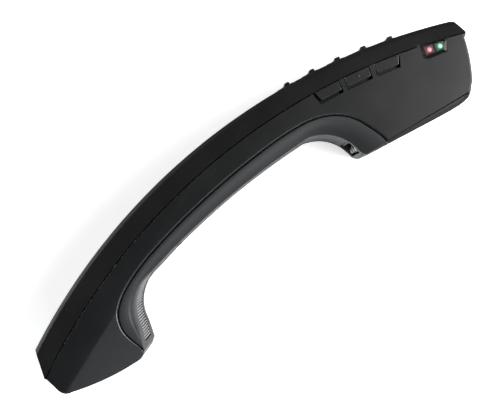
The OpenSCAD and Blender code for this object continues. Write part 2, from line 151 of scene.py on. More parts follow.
def finish_piece(shape, name, body, plastic, stands_for, smooth=35):
    # turns a bmesh into a piece that rides on a body and stands for drawn ones
    mesh = bpy.data.meshes.new(name)
    bmesh.ops.recalc_face_normals(shape, faces=shape.faces[:])
    shape.to_mesh(mesh)
    shape.free()
    piece = bpy.data.objects.new(name, mesh)
    bpy.context.scene.collection.objects.link(piece)
    mesh.materials.append(plastic)
    mesh.shade_smooth()
    mesh.set_sharp_from_angle(angle=radians(smooth))
    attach(piece, body)
    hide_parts(*stands_for)
    return piece


def settle(piece):
    # applies a piece's modifiers to its mesh
    bpy.context.view_layer.update()
    done = bpy.data.meshes.new_from_object(
        piece.evaluated_get(bpy.context.evaluated_depsgraph_get()))
    piece.modifiers.clear()
    old = piece.data
    piece.data = done
    bpy.data.meshes.remove(old)


def soften(piece, width, angle):
    # breaks a piece's edges that are sharper than this angle
    edge = piece.modifiers.new("soft edges", "BEVEL")
    edge.width = width
    edge.segments = 1
    edge.limit_method = "ANGLE"
    edge.angle_limit = radians(angle)
    edge.harden_normals = True
    edge.use_clamp_overlap = True


def cut(piece, tools):
    # cuts the tools' shapes out of a piece, then throws them away
    for tool in tools:
        saw = piece.modifiers.new("cut", "BOOLEAN")
        saw.operation = "DIFFERENCE"
        saw.solver = "EXACT"
        saw.object = tool
    settle(piece)
    for tool in tools:
        bpy.data.objects.remove(tool)


def give_wall(piece, thick, out=(0, 0, 1), thinner=None):
    # the skin, whose outermost faces look out, becomes a moulding this thick,
    # grown inwards
    reach = max(face.center.dot(Vector(out)) for face in piece.data.polygons) - mm
    if sum(face.normal.dot(Vector(out)) * face.area for face in piece.data.polygons
           if face.center.dot(Vector(out)) > reach) < 0:
        piece.data.flip_normals()
    inside = piece.modifiers.new("wall", "SOLIDIFY")
    inside.thickness = thick
    inside.offset = -1
    if thinner:         # a share of the thickness for each corner of the skin
        share = piece.vertex_groups.new(name="wall")
        for corner, part in enumerate(thinner):
            share.add([corner], part, "REPLACE")
        inside.vertex_group = "wall"
    settle(piece)


def add_to(shape, part):
    # puts one mesh into another
    spare = bpy.data.meshes.new("part")
    part.to_mesh(spare)
    part.free()
    shape.from_mesh(spare)
    bpy.data.meshes.remove(spare)


def even(piece):
    # big faces keep their own shading where they meet rounded edges
    shading = piece.modifiers.new("even shading", "WEIGHTED_NORMAL")
    shading.keep_sharp = True
    settle(piece)


def cutter(shape, name):
    # turns a bmesh into a tool for cut
    mesh = bpy.data.meshes.new(name)
    bmesh.ops.recalc_face_normals(shape, faces=shape.faces[:])
    shape.to_mesh(mesh)
    shape.free()
    tool = bpy.data.objects.new(name, mesh)
    bpy.context.scene.collection.objects.link(tool)
    return tool


def grain_group():
    tree = bpy.data.node_groups.new("moulded grain", "ShaderNodeTree")
    tree.interface.new_socket("Grain size", in_out="INPUT", socket_type="NodeSocketFloat")
    tree.interface.new_socket("Dust", in_out="INPUT", socket_type="NodeSocketFloat")
    tree.interface.new_socket("Height", in_out="OUTPUT", socket_type="NodeSocketFloat")
    tree.interface.new_socket("Mottle", in_out="OUTPUT", socket_type="NodeSocketFloat")
    tree.interface.new_socket("Dust mask", in_out="OUTPUT", socket_type="NodeSocketFloat")
    enter = tree.nodes.new("NodeGroupInput")
    leave = tree.nodes.new("NodeGroupOutput")
    place = tree.nodes.new("ShaderNodeTexCoord")
    fine = tree.nodes.new("ShaderNodeTexNoise")
    fine.inputs["Detail"].default_value = 3
    tree.links.new(place.outputs["Object"], fine.inputs["Vector"])
    tree.links.new(enter.outputs["Grain size"], fine.inputs["Scale"])
    tree.links.new(fine.outputs["Fac"], leave.inputs["Height"])
    broad = tree.nodes.new("ShaderNodeTexNoise")
    broad.inputs["Scale"].default_value = 55
    broad.inputs["Detail"].default_value = 4
    tree.links.new(place.outputs["Object"], broad.inputs["Vector"])
    tree.links.new(broad.outputs["Fac"], leave.inputs["Mottle"])
    specks = tree.nodes.new("ShaderNodeTexNoise")
    specks.inputs["Scale"].default_value = 900
    specks.inputs["Detail"].default_value = 2
    tree.links.new(place.outputs["Object"], specks.inputs["Vector"])
    pick = tree.nodes.new("ShaderNodeMapRange")
    pick.inputs["From Min"].default_value = 0.66
    pick.inputs["From Max"].default_value = 0.74
    tree.links.new(specks.outputs["Fac"], pick.inputs["Value"])
    some = tree.nodes.new("ShaderNodeMath")
    some.operation = "MULTIPLY"
    tree.links.new(pick.outputs["Result"], some.inputs[0])
    tree.links.new(enter.outputs["Dust"], some.inputs[1])
    tree.links.new(some.outputs[0], leave.inputs["Dust mask"])
    return tree


moulded_grain = grain_group()


def vary_shine(nodes, links, skin, mask, rough, drift):
    # roughness that drifts either side of a middle value
    shine = nodes.new("ShaderNodeMapRange")
    shine.inputs["To Min"].default_value = max(rough - drift, 0.05)
    shine.inputs["To Max"].default_value = rough + drift
    links.new(mask, shine.inputs["Value"])
    links.new(shine.outputs["Result"], skin.inputs["Roughness"])


def emboss(nodes, links, skin, height, strength, depth):
    # relief in the surface, depth in metres
    bump = nodes.new("ShaderNodeBump")
    bump.inputs["Strength"].default_value = strength
    bump.inputs["Distance"].default_value = depth
    links.new(height, bump.inputs["Height"])
    links.new(bump.outputs["Normal"], skin.inputs["Normal"])


def black_plastic(name, colour, rough, depth=0.00002, mirror=0.5):
    # dyed plastic: mottled a little, with its grain and specks of dust
    plastic, nodes, links, skin = blank_finish(name)
    skin.inputs["Specular IOR Level"].default_value = mirror
    grain_node = nodes.new("ShaderNodeGroup")
    grain_node.node_tree = moulded_grain
    grain_node.inputs["Grain size"].default_value = 2600
    grain_node.inputs["Dust"].default_value = 0.05
    tint = two_tone(nodes, links, grain_node.outputs["Mottle"],
                    [c * 0.86 for c in colour], [c * 1.14 for c in colour])
    dusty = nodes.new("ShaderNodeMix")
    dusty.data_type = "RGBA"
    dusty.inputs["B"].default_value = (0.16, 0.16, 0.155, 1)
    links.new(tint, dusty.inputs["A"])
    links.new(grain_node.outputs["Dust mask"], dusty.inputs["Factor"])
    links.new(dusty.outputs["Result"], skin.inputs["Base Color"])
    vary_shine(nodes, links, skin, grain_node.outputs["Mottle"], rough, 0.05)
    emboss(nodes, links, skin, grain_node.outputs["Height"], 0.35, depth)
    return plastic


cover_plastic = black_plastic("cover plastic", (0.003, 0.003, 0.0032), 0.34)
cover = bmesh.new()
crown, chamfer, droop = 0.8 * mm, 1.5 * mm, 0.7 * mm
half_w = mid - 1.5 * mm
half = [(face_r - 8 * mm, mid), (face_r - chamfer - 0.15 * mm, mid - droop),
        (face_r - chamfer + 0.1 * mm, mid - droop - 0.12 * mm),
        (face_r - 0.2 * mm, half_w + 0.16 * mm), (face_r, half_w)]
for part in range(1, 9):
    z = half_w * (1 - part / 8)
    half.append((face_r + crown * (1 - (z / half_w) ** 2), z))
section = half + [(r, -z) for r, z in reversed(half[:-1])]
join([(face_c.x, face_c.y + r, mid + z) for r, z in section], cover)
sweep_angle = radians(55)
bmesh.ops.rotate(cover, verts=cover.verts[:], cent=(*face_c, 0),
                 matrix=Matrix.Rotation(sweep_angle / 2, 3, "Z"))
bmesh.ops.spin(cover, geom=cover.verts[:] + cover.edges[:], cent=(*face_c, 0),
               axis=(0, 0, -1), angle=sweep_angle, steps=110, use_merge=False)
for v in cover.verts:       # the first and last of each section lie on the seam
    away = hypot(v.co.x - face_c.x, v.co.y - face_c.y)
    if away < face_r - 5 * mm:
        v.co.y = seam_y(v.co.x)
for at, lean in (((-105, -7), 0.36), ((105, -5.6), -0.14)):
    side = 1 if at[0] > 0 else -1
    face_way = Vector((1, -lean, 0)).normalized() * side
    for trim_at, trim_way in (((Vector((*at, 0)) * mm), face_way),
                              (Vector((side * 102.4, 2.6 if side < 0 else 2.1, 0)) * mm,
                               Vector((side, 1.0, 0)).normalized())):
        sheared = bmesh.ops.bisect_plane(
            cover, geom=cover.verts[:] + cover.edges[:] + cover.faces[:], plane_co=trim_at,
            plane_no=trim_way, clear_outer=True, dist=1e-7)
        rim = [e for e in sheared["geom_cut"] if isinstance(e, bmesh.types.BMEdge)]
        ends = [v for v in {v for e in rim for v in e.verts}
                if sum(e in rim for e in v.link_edges) == 1]
        if ends:
            rim.append(cover.edges.new(ends))
        bmesh.ops.contextual_create(cover, geom=rim)
bmesh.ops.remove_doubles(cover, verts=cover.verts[:], dist=1e-6)
keypad_cover = finish_piece(cover, "keypad_cover", "case", cover_plastic,
                            ["outer_cover"], smooth=20)
give_wall(keypad_cover, wall)
key_pitch, key_column = 10.96 * mm, 12.4 * mm
key_l, key_w, key_gap = 7 * mm, 9.4 * mm, 0.3 * mm


def block(low, high, rounded=0.0, segments=2):
    # a box between two corners with rounded edges
    shape = bmesh.new()
    bmesh.ops.create_cube(shape, size=1)
    low, high = Vector(low), Vector(high)
    bmesh.ops.scale(shape, vec=high - low, verts=shape.verts)
    bmesh.ops.translate(shape, vec=(low + high) / 2, verts=shape.verts)
    if rounded:
        bmesh.ops.bevel(shape, geom=shape.edges[:], offset=rounded, offset_type="OFFSET",
                        segments=segments, profile=0.5, affect="EDGES", material=-1)
    return shape


middle_row = radians(-14.52)        # where row 3 stands on the face's arc


def on_face(row, column):
    # from a key's own frame to the handset: x along the keypad, y out of its face
    turn = middle_row - (row - 3) * key_pitch / face_r
    return Matrix.Translation((*face_c, mid + (column - 2) * key_column)) @ \
        Matrix.Rotation(turn, 4, "Z") @ Matrix.Translation((0, face_r, 0))


holes = bmesh.new()
for row in range(1, 6):
    for column in (1, 2, 3):
        hole = block((-key_l / 2 - key_gap, -6 * mm, -key_w / 2 - key_gap),
                     (key_l / 2 + key_gap, 4 * mm, key_w / 2 + key_gap))
        upright = [e for e in hole.edges if abs(e.verts[0].co.y - e.verts[1].co.y) > mm]
        bmesh.ops.bevel(hole, geom=upright, offset=0.5 * mm, offset_type="OFFSET", segments=3,
                        profile=0.5, affect="EDGES", material=-1)
        bmesh.ops.transform(hole, matrix=on_face(row, column), verts=hole.verts)
        add_to(holes, hole)
cut(keypad_cover, [cutter(holes, "key_holes")])
soften(keypad_cover, 0.12 * mm, 40)
even(keypad_cover)

# ---- main shell ---------------------------------------------------------------
# The moulding that makes the mouthpiece, both flat sides and the head. Its
# sides are notched along the seam for the side keys and the lamps, and the
# side of the mouthpiece leans away below a soft crease.
under_c, under_r = Vector((-64.2, 69.9)) * mm, 95 * mm
mouth_c, mouth_r = Vector((-47.5, -19)) * mm, 17.9 * mm
neck_c, neck_r = Vector((27.3, -15.75)) * mm, 17.4 * mm
grip_c, grip_r = Vector((0, -317.4)) * mm, 320 * mm
key_turn, key_step = radians(-14.13), 12.6 / 245.3
key_long, key_high, key_drop = 10.2 * mm, 4 * mm, 0.3 * mm
lamp_turn = radians(-18.5)


def arc(c, r, a0, a1, n):
    # points along an arc from angle a0 to a1
    return [c + r * Vector((cos(radians(a0 + (a1 - a0) * i / n)),
                            sin(radians(a0 + (a1 - a0) * i / n)))) for i in range(n + 1)]


def flow(points, n):
    # a smooth line through points, n steps between each pair
    points = [Vector(p) * mm for p in points]
    ends = [2 * points[0] - points[1]] + points + [2 * points[-1] - points[-2]]
    line = []
    for a, b, c, d in zip(ends, ends[1:], ends[2:], ends[3:]):
        for i in range(n):
            t = i / n
            line.append(0.5 * (2 * b + (c - a) * t + (2 * a - 5 * b + 4 * c - d) * t * t
                               + (3 * b - a - 3 * c + d) * t ** 3))
    return line + [points[-1]]


def beside_seam(i, u, v):
    # a point of side key i's own frame: u along the seam, v out from its top
    a = key_turn - i * key_step
    return seam_c + Matrix.Rotation(a, 2) @ Vector((u, seam_r - key_drop + v))


def near_lamps(u, v):
    # a point of the lamp window's own frame
    return Vector((92.2, -2.5)) * mm + Matrix.Rotation(lamp_turn, 2) @ Vector((u, v)) * mm


def key_corners(i, left, right, top, low):
    # side key i's outline: the outer ends of the first and last key slant more
    return [beside_seam(i, -left, top), beside_seam(i, right, top),
            beside_seam(i, right - (1.4 if i == 1 else 0.4) * mm, low),
            beside_seam(i, -left + (0.9 if i == -1 else -0.4) * mm, low)]


groove = flow([(55.1, -20.35), (54.9, -17), (54.1, -13.6), (52.9, -9.8), (51.2, -5.4), (48.6, -1.5),
               (45.2, 1.6), (41, 4.1), (35.5, 6), (28, 7.3), (19, 8.05), (8, 8.35), (-3, 8.25),
               (-14, 7.75), (-26, 6.75), (-37, 5.35), (-47, 3.6), (-55, 1.4), (-60, -0.5),
               (-64, -2.7), (-67.3, -5.4), (-69.2, -8.6), (-70.1, -12), (-70, -15.5),
               (-69.3, -19), (-68.7, -21.4), (-68.8, -23.1)], 3)


def seam_run(x0, x1, n):
    # points along the shell's side of the seam
    return [Vector((x * mm, seam_y(x * mm, 0.42 * mm)))
            for x in (x0 + (x1 - x0) * i / n for i in range(n + 1))]


# Corners in order round a flat side, from the head end of the seam to the
# mouthpiece, round the outside to the groove, along it and back round the head.
seam_side = seam_run(104.8, 98.4, 2)
seam_side += [near_lamps(u, v) for u, v in (
    (5.5, 1.9), (5.4, 1.2), (4, -3), (3.5, -3.4), (-4.5, -3.6), (-5.3, -3.2), (-5.9, -2.2),
    (-5.7, 2), (-5.5, 3.4))]
seam_side += seam_run(86.2, 81, 2)
for i in (1, 0, -1):
    right = key_long / 2 + 0.25 * mm
    left = key_long / 2 + (0.9 if i == -1 else 0.25) * mm
    notch = key_corners(i, left, right, 0.02 * mm, -key_high - 1 * mm)
    seam_side += notch[1:] + notch[:1]
seam_side += seam_run(43, -104.8, 44)
plain_seam = seam_run(104.8, -104.8, 60)
mouth_end = [Vector(p) * mm for p in (
    (-104.7, -9.2), (-104.1, -14.2), (-103.6, -15.7), (-102.7, -16.9), (-101.3, -17.8))]
mouth_end += arc(under_c, under_r, 247.6, 263.2, 8)
mouth_end += [Vector(p) * mm for p in (
    (-73.6, -24.7), (-72, -24.75), (-70.8, -24.45), (-69.7, -23.9))]
head_end = [Vector(p) * mm for p in (
    (60, -21.3), (66, -22.5), (72, -23.65), (78, -24.8), (82, -25.5), (85.5, -25.95), (88, -26),
    (89.8, -25.8), (91.3, -25.1), (92.8, -23.8))]
head_end += arc(Vector((46.3, 14.6)) * mm, 60.9 * mm, -36.5, -20.6, 7)

crease_at, crease_way = Vector((-102, -15.3)) * mm, Vector((0.328, -0.945))


def edge_style(p, on_seam, on_groove):
    # (chamfer width, how round it is) at a corner of the flat side
    if on_seam:
        return 0.04 * mm, 0.5
    if on_groove:
        return 0.8 * mm, 1
    if p.x > 90 * mm:
        return 0.75 * mm, 0.3
    if p.x > 0:
        return 1.45 * mm, 0
    return 1.0 * mm, 0.8


def inset(points, amounts):
    # a closed outline moved in, each side by its own amount
    moved = []
    for i, p in enumerate(points):
        a = (p - points[i - 1]).normalized()
        b = (points[(i + 1) % len(points)] - p).normalized()
        na, nb = Vector((-a.y, a.x)), Vector((-b.y, b.x))
        before, after = amounts[i - 1], amounts[i]
        turn = na.x * nb.y - na.y * nb.x
        if abs(turn) < 0.25:
            moved.append(p + (na + nb) * (before + after) / 2 / max(1 + na.dot(nb), 0.35))
        else:
            moved.append(p + Vector((before * nb.y - after * na.y,
                                     after * na.x - before * nb.x)) / turn)
    return moved


def flat_side(shape, styles, outline, walls, top):
    # one side plate with its edges rolled over and its walls down to the middle
    rings = []
    for k in range(5):
        amounts, drops = [], []
        for width, roundness in styles:
            turn = k / 4 * pi / 2
            amounts.append(width * ((1 - k / 4) * (1 - roundness) + (1 - sin(turn)) * roundness))
            drops.append(width * ((k / 4) * (1 - roundness) + (1 - cos(turn)) * roundness))
        drops = [(d + drops[i - 1]) / 2 for i, d in enumerate(drops)]
        rings.append([Vector((p.x, p.y, top - d)) for p, d in zip(inset(outline, amounts), drops)])
    first = [shape.verts.new(p) for p in rings[0]]
    shape.faces.new(first)
    loop = first
    for ring in rings[1:]:
        edges = [shape.edges.get((a, b)) for a, b in zip(loop, loop[1:] + loop[:1])]
        grown = bmesh.ops.extrude_edge_only(shape, edges=edges)["geom"]
        new = {tuple(v.co): v for v in grown if isinstance(v, bmesh.types.BMVert)}
        loop = [new[tuple(v.co)] for v in loop]
        for v, p in zip(loop, ring):
            v.co = p
    down = [shape.edges.get((loop[i], loop[(i + 1) % len(loop)])) for i in range(len(loop))
            if walls[i] and walls[(i + 1) % len(loop)]]
    grown = bmesh.ops.extrude_edge_only(shape, edges=down)["geom"]
    for v in grown:
        if isinstance(v, bmesh.types.BMVert):
            v.co.z = mid


def side_outline(seam_points):
    # the corners, the style of each side after a corner, and which corners carry a wall
    outline = seam_points + mouth_end + list(reversed(groove)) + head_end
    kinds = ["seam"] * len(seam_points) + ["wall"] * len(mouth_end) + \
        ["groove"] * len(groove) + ["wall"] * len(head_end)
    starts = kinds[:]
    starts[len(seam_points) - 1] = "wall"
    starts[len(seam_points) + len(mouth_end) + len(groove) - 1] = "wall"
    styles = []
    for i, kind in enumerate(starts):
        centre = (outline[i] + outline[(i + 1) % len(outline)]) / 2
        styles.append(edge_style(centre, kind == "seam", kind == "groove"))
    walls = [k == "wall" for k in kinds]
    walls[0] = walls[len(seam_points) - 1] = True
    walls[len(seam_points) + len(mouth_end)] = walls[-len(head_end) - 1] = True
    return outline, styles, walls


def lean_mouthpiece(shape):
    # the side of the mouthpiece drops away from the crease, 1 in 9
    for off in (-1.2 * mm, 1.2 * mm):
        at = crease_at + crease_way * off
        upper = [f for f in shape.faces if min(v.co.z for v in f.verts) > mid + 5 * mm]
        parts = set(upper) | {e for f in upper for e in f.edges}
        parts |= {v for f in upper for v in f.verts}
        bmesh.ops.bisect_plane(shape, geom=list(parts), plane_co=(*at, 0),
                               plane_no=(*crease_way, 0), dist=1e-7)
    for v in shape.verts:
        d = crease_way.dot(Vector(v.co[:2]) - crease_at)
        if v.co.z > mid + 5 * mm and d > -1.3 * mm and v.co.x < -60 * mm:
            v.co.z -= 0.11 * max(0, d if d > 1.1 * mm else 0)


shell_plastic = black_plastic("shell plastic", (0.0022, 0.0024, 0.0026), 0.33)
shell = bmesh.new()
outline, styles, walls = side_outline(seam_side)
flat_side(shell, styles, outline, walls, 2 * mid)
lean_mouthpiece(shell)
other = bmesh.new()
outline, styles, walls = side_outline(plain_seam)
flat_side(other, styles, outline, walls, 2 * mid)
lean_mouthpiece(other)
for v in other.verts:
    v.co.z = 2 * mid - v.co.z
add_to(shell, other)
bmesh.ops.remove_doubles(shell, verts=shell.verts[:], dist=1e-6)
main_shell = finish_piece(shell, "main_case", "case", shell_plastic,
                          ["main_shell"])
give_wall(main_shell, wall)
head_face = Matrix.Translation((71 * mm, -23.44 * mm, mid)) @ \
    Matrix.Rotation(radians(-11.1), 4, "Z")
slots = bmesh.new()
for k in range(-2, 3):
    long = 3 * (3 - abs(k)) * mm
    slot = block((k * 3 * mm, -3 * mm, -long / 2), (k * 3 * mm + 1.2 * mm, 4 * mm, long / 2))
    upright = [e for e in slot.edges if abs(e.verts[0].co.y - e.verts[1].co.y) > mm]
    bmesh.ops.bevel(slot, geom=upright, offset=0.5 * mm, offset_type="OFFSET", segments=3,
                    profile=0.5, affect="EDGES", material=-1)
    bmesh.ops.transform(slot, matrix=head_face, verts=slot.verts)
    add_to(slots, slot)
cut(main_shell, [cutter(slots, "sound_slots")])


def upright_slab(outline, low, high):
    # a side-view outline raised from low to high
    shape = bmesh.new()
    face = shape.faces.new([shape.verts.new((p[0], p[1], low)) for p in outline])
    grown = bmesh.ops.extrude_face_region(shape, geom=[face])["geom"]
    bmesh.ops.translate(shape, vec=(0, 0, high - low),
                        verts=[v for v in grown if isinstance(v, bmesh.types.BMVert)])
    return shape


tongued = bmesh.new()       # a tongue behind the seam, on both sides, keeps it closed
tongued.from_mesh(main_shell.data)
along = [(-100 + 131 * k / 40) * mm for k in range(41)]
for low in (1.98 * mm, 42.92 * mm):
    tongue = upright_slab([(x, seam_y(x, -0.6 * mm)) for x in along]
                          + [(x, seam_y(x, 1.6 * mm)) for x in reversed(along)],
                          low, low + 1.1 * mm)
    bmesh.ops.recalc_face_normals(tongue, faces=tongue.faces[:])
    add_to(tongued, tongue)
tongued.to_mesh(main_shell.data)
tongued.free()
even(main_shell)

# ---- belly cover ---------------------------------------------------------------
# The softly rounded moulding that lines the hollow, from the head to the
# mouthpiece's tip. It sits 0.7 mm below the flat sides behind a fine groove.
def on_arc(c, r, a):
    # a point of an arc, in mm
    return tuple((c + r * Vector((cos(radians(a)), sin(radians(a))))) / mm)


def on_grip(x):
    # a point of the hollow's long arc, in mm
    return on_arc(grip_c, grip_r, 90 - degrees(atan2(x, 320)))


hollow = flow([(46.4, -18.7), (44.95, -16.7)]
              + [on_arc(neck_c, neck_r, a) for a in (6, 19, 33, 45, 56, 66, 76)]
              + [on_grip(x) for x in (27, 19, 8, -3, -14, -26, -36.5)] + [(-45.2, -0.75)]
              + [on_arc(mouth_c, mouth_r, a) for a in (107, 119, 130, 140, 149, 158, 166)]
              + [(-66.2, -17.9), (-67.45, -20.7), (-68.35, -22.85)], 3)
belly_drop = 0.7 * mm


def belly_section(edge, inner, belly_drop):
    # from the groove over to the hollow and back, for one place along the
    # belly: it leans down more and more, then turns into the hollow
    way = (inner - edge).normalized()
    width = (inner - edge).length
    small = min(1, width / (4 * mm)) * 0.22 * mm
    deeper = min(1, max(0, (-46 * mm - edge.x) / (10 * mm)))
    turn_in = min((0.9 + 1.1 * deeper) * mm, width / 4)
    lean = 0.3 if edge.x > -48 * mm else max(0.12, 0.3 - (-48 * mm - edge.x) / (60 * mm))
    half = [(0.0, 3.2 * mm), (0.0, belly_drop + small), (0.3 * small, belly_drop + 0.3 * small)]
    run = width - turn_in - small
    for k in range(7):
        half.append((small + run * k / 6, belly_drop + lean * run * (k / 6) ** 2))
    first = atan2(2 * lean, 1)
    for k in range(1, 6):
        turn = first + (pi / 2 - first) * k / 5
        half.append((width - turn_in * (1 - (sin(turn) - sin(first)) / (1 - sin(first))),
                     belly_drop + lean * run
                     + (1.3 + 2.4 * deeper) * turn_in * (cos(first) - cos(turn))))
    half.append((width, mid * 0.7))
    side = [(edge + way * u, 2 * mid - z) for u, z in half]
    whole = side + [(p, 2 * mid - z) for p, z in reversed(side)]
    return [(p.x, p.y, z) for p, z in whole]


belly_plastic = black_plastic("belly plastic", (0.012, 0.0135, 0.014), 0.5, mirror=0.3)
belly = bmesh.new()
last = None
ends, thinner = [], []
for n in range(len(groove)):
    way = (hollow[n] - groove[n]).normalized()
    width = (hollow[n] - groove[n]).length
    line = join(belly_section(groove[n] + way * min(0.3 * mm, width * 0.3), hollow[n],
                              belly_drop + (1.1 * mm if n == 0 else 0)), belly)
    thinner += [min(1, width / (6 * mm))] * len(line)
    edges = [belly.edges.get(pair) for pair in zip(line, line[1:])]
    if last:
        bmesh.ops.bridge_loops(belly, edges=last + edges)
    if n in (0, len(groove) - 1):
        ends.append(edges + [belly.edges.new((line[-1], line[0]))])
    last = edges
for rim in ends:
    bmesh.ops.contextual_create(belly, geom=rim)
belly_cover = finish_piece(belly, "belly_cover", "case", belly_plastic,
                           ["inner_cover"], smooth=40)
give_wall(belly_cover, wall, thinner=thinner)
door_wide, pocket_wide, grille_wide = 33 * mm, 30 * mm, 22 * mm
door_hole = block((-34.5 * mm, -8 * mm, mid - door_wide / 2 - 0.3 * mm),
                  (31.4 * mm, 6 * mm, mid + door_wide / 2 + 0.3 * mm))
pocket_hole = block((40 * mm, -17.4 * mm, mid - pocket_wide / 2),
                    (52 * mm, -9.4 * mm, mid + pocket_wide / 2))
rib_pitch, rib_count = 1.08 * mm, 25
grille_top, grille_bend = radians(101), radians(167)
grille_end = mouth_c + mouth_r * Vector((cos(grille_bend), sin(grille_bend)))
grille_way = (Vector((-68.2, -22.6)) * mm - grille_end).normalized()
grille_arc = mouth_r * (grille_bend - grille_top)


def along_grille(s, deep):
    # a point s along the grille from its top, deep below its surface
    if s < grille_arc:
        a = grille_top + s / mouth_r
        return mouth_c + (mouth_r + deep) * Vector((cos(a), sin(a)))
    return grille_end + grille_way * (s - grille_arc) + deep * Vector((grille_way.y, -grille_way.x))


down = [-0.6 * mm + i * (rib_count * rib_pitch + 0.7 * mm) / 20 for i in range(21)]
grille_hole = upright_slab([along_grille(s, -2 * mm) for s in down]
                           + [along_grille(s, 3.4 * mm) for s in reversed(down)],
                           mid - grille_wide / 2 - 0.1 * mm, mid + grille_wide / 2 + 0.1 * mm)
cut(belly_cover, [cutter(door_hole, "door_hole"), cutter(pocket_hole, "pocket_hole"),
                  cutter(grille_hole, "grille_hole")])
soften(belly_cover, 0.15 * mm, 50)
even(belly_cover)

# ---- battery door ---------------------------------------------------------------
# A curved door set flush in the grip's inner face. It turns on two short pins
# in a round barrel at the mouthpiece end and has a slot for a finger nail.
door = bmesh.new()
last = None
for n in range(33):
    x = (-33.2 + 64.2 * n / 32) * mm
    a = atan2(x, 320 * mm)
    out = Vector((sin(a), cos(a)))
    inner = grip_c + grip_r * out
    line = join([(*inner, mid + door_wide * (k / 6 - 0.5)) for k in range(7)], door)
    edges = [door.edges.get(pair) for pair in zip(line, line[1:])]
    if last:
        bmesh.ops.bridge_loops(door, edges=last + edges)
    last = edges
battery_door = finish_piece(door, "battery_door_panel", "battery_door", belly_plastic,
                            ["battery_door"], smooth=40)
give_wall(battery_door, 1.6 * mm, (0, -1, 0))
nail_slot = block((27.6 * mm, -4 * mm, mid - 6 * mm), (29.6 * mm, 2.1 * mm, mid + 6 * mm), 0.3 * mm)
cut(battery_door, [cutter(nail_slot, "nail_slot")])
soften(battery_door, 0.14 * mm, 50)
even(battery_door)
hinge = bmesh.new()
for r, long in ((0.8 * mm, door_wide), (0.5 * mm, door_wide + 2.6 * mm)):
    pin = bmesh.new()
    bmesh.ops.create_cone(pin, cap_ends=True, segments=24, radius1=r, radius2=r, depth=long)
    rims = [e for e in pin.edges if abs(e.verts[0].co.z - e.verts[1].co.z) < 1e-6]
    bmesh.ops.bevel(pin, geom=rims, offset=0.12 * mm, offset_type="OFFSET", segments=2, profile=0.5,
                    affect="EDGES", material=-1)
    bmesh.ops.translate(pin, vec=(-33.2 * mm, 1.75 * mm, mid), verts=pin.verts)
    add_to(hinge, pin)
for z in (-9 * mm, 0, 9 * mm):
    add_to(hinge, block((26 * mm, 2.3 * mm, mid + z - 1.5 * mm),
                        (29 * mm, 4.6 * mm, mid + z + 1.5 * mm), 0.25 * mm))
finish_piece(hinge, "battery_door_hinge_and_clips", "battery_door", belly_plastic,
             ["battery_door"])


# ---- keypad keys ----------------------------------------------------------------
# Fifteen hard caps of black plastic, each with a ridge across it that rises
# from the grip side and drops at the head side. A flange under the cover keeps
# each one in, and its stem stands on the rubber keymat.
key_plastic = black_plastic("key plastic", (0.005, 0.005, 0.0053), 0.36)
mat_top = -5.9 * mm


def key_cap(row, column):
    top = crown + (0.05 if column == 2 else -0.25) * mm
    cap = bmesh.new()
    outline = [(-3.5, -2.9), (3.5, -2.9), (3.5, -0.3), (3.42, 0), (2.3, 0.03), (2.2, 0.85),
               (1.95, 1.08), (0.35, 1.06), (0.0, 0.8), (-0.5, 0.04), (-3.42, 0), (-3.5, -0.3)]
    face = cap.faces.new([cap.verts.new((u * mm, v * mm + (top if v > -1 else 0), -key_w / 2))
                          for u, v in outline])
    grown = bmesh.ops.extrude_face_region(cap, geom=[face])["geom"]
    bmesh.ops.translate(cap, vec=(0, 0, key_w), verts=[v for v in grown
                                                       if isinstance(v, bmesh.types.BMVert)])
    across = [e for e in cap.edges if abs(e.verts[0].co.z - e.verts[1].co.z) < mm]
    bmesh.ops.bevel(cap, geom=across, offset=0.32 * mm, offset_type="OFFSET", segments=3,
                    profile=0.5, affect="EDGES", material=-1)
    add_to(cap, block((-4.3 * mm, -3.3 * mm, -5.5 * mm), (4.3 * mm, -2.5 * mm, 5.5 * mm),
                      0.15 * mm, 1))
    drop = face_r * (1 - cos((row - 3) * key_pitch / face_r))
    add_to(cap, block((-1.5 * mm, mat_top + 0.7 * mm + drop + 0.35 * mm, -1.5 * mm),
                      (1.5 * mm, -3.2 * mm, 1.5 * mm), 0.2 * mm, 1))
    bmesh.ops.transform(cap, matrix=on_face(row, column), verts=cap.verts)
    node = "key_r%dc%d" % (row, column)
    even(finish_piece(cap, "cap_r%dc%d" % (row, column), node, key_plastic, [node]))


for row in range(1, 6):
    for column in (1, 2, 3):
        key_cap(row, column)

